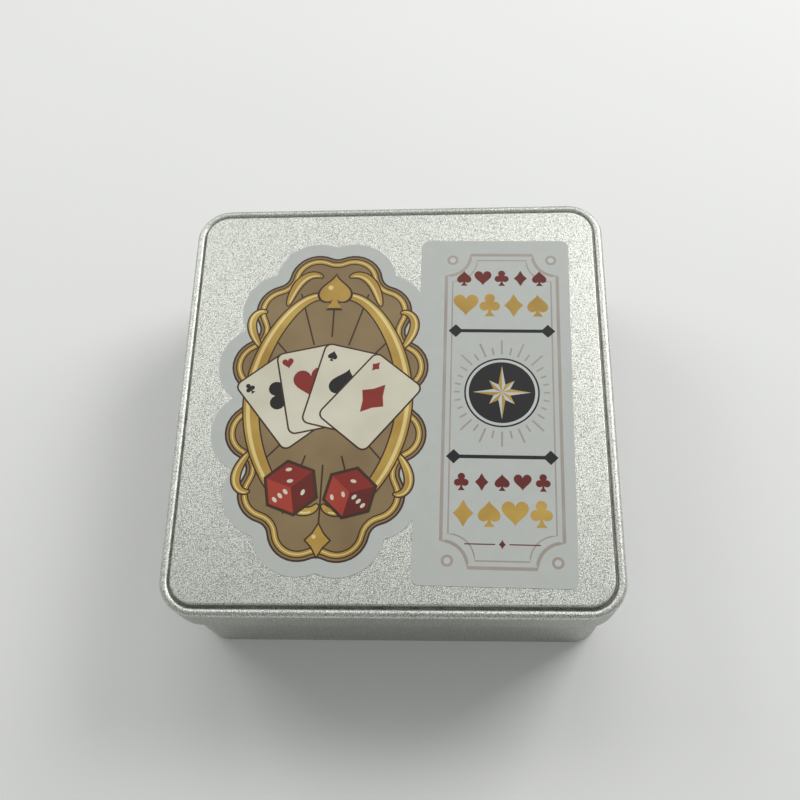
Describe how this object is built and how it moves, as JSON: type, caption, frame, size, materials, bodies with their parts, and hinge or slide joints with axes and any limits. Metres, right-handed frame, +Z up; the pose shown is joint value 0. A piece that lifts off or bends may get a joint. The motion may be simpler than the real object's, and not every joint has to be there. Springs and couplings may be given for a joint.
{
  "type": "hinged card game tin",
  "caption": "Square tinplate box with rounded corners, a hinged slip lid with shoulder bead and raised panel, an insert with a deck well, cards, leaflet and a printed label.",
  "frame": {"origin": "on the table under the middle of the tin", "axes": "+Z up, +X to the right along the hinge, +Y from the front to the hinge at the back"},
  "size_m": [0.112, 0.114, 0.0432],
  "materials": {
    "base_lacquer": "silver sand-textured lacquer on tinplate",
    "panel_lacquer": "silver sand-textured lacquer on tinplate",
    "wire_steel": "drawn zinc-coated wire",
    "tray_plastic": "thermoformed black sheet",
    "card_stock": "linen-embossed coated card",
    "leaflet_paper": "uncoated paper",
    "lid_lacquer": "silver sand-textured lacquer on tinplate",
    "label_paper": "satin self-adhesive label with printed ornament"
  },
  "bodies": {
    "base": {"base_wall": "base_lacquer", "base_panel": "panel_lacquer", "hinge_wire": "wire_steel", "insert_tray": "tray_plastic", "card_deck": "card_stock", "rules_leaflet": "leaflet_paper"},
    "lid": {"lid_shell": "lid_lacquer", "lid_label": "label_paper"}
  },
  "joints": [
    {"name": "lid_hinge", "type": "hinge", "parent": "base", "child": "lid", "pos_m": [0, 0.0563, 0.03192], "axis": [-1, 0, 0], "range_deg": [0, 105]}
  ]
}
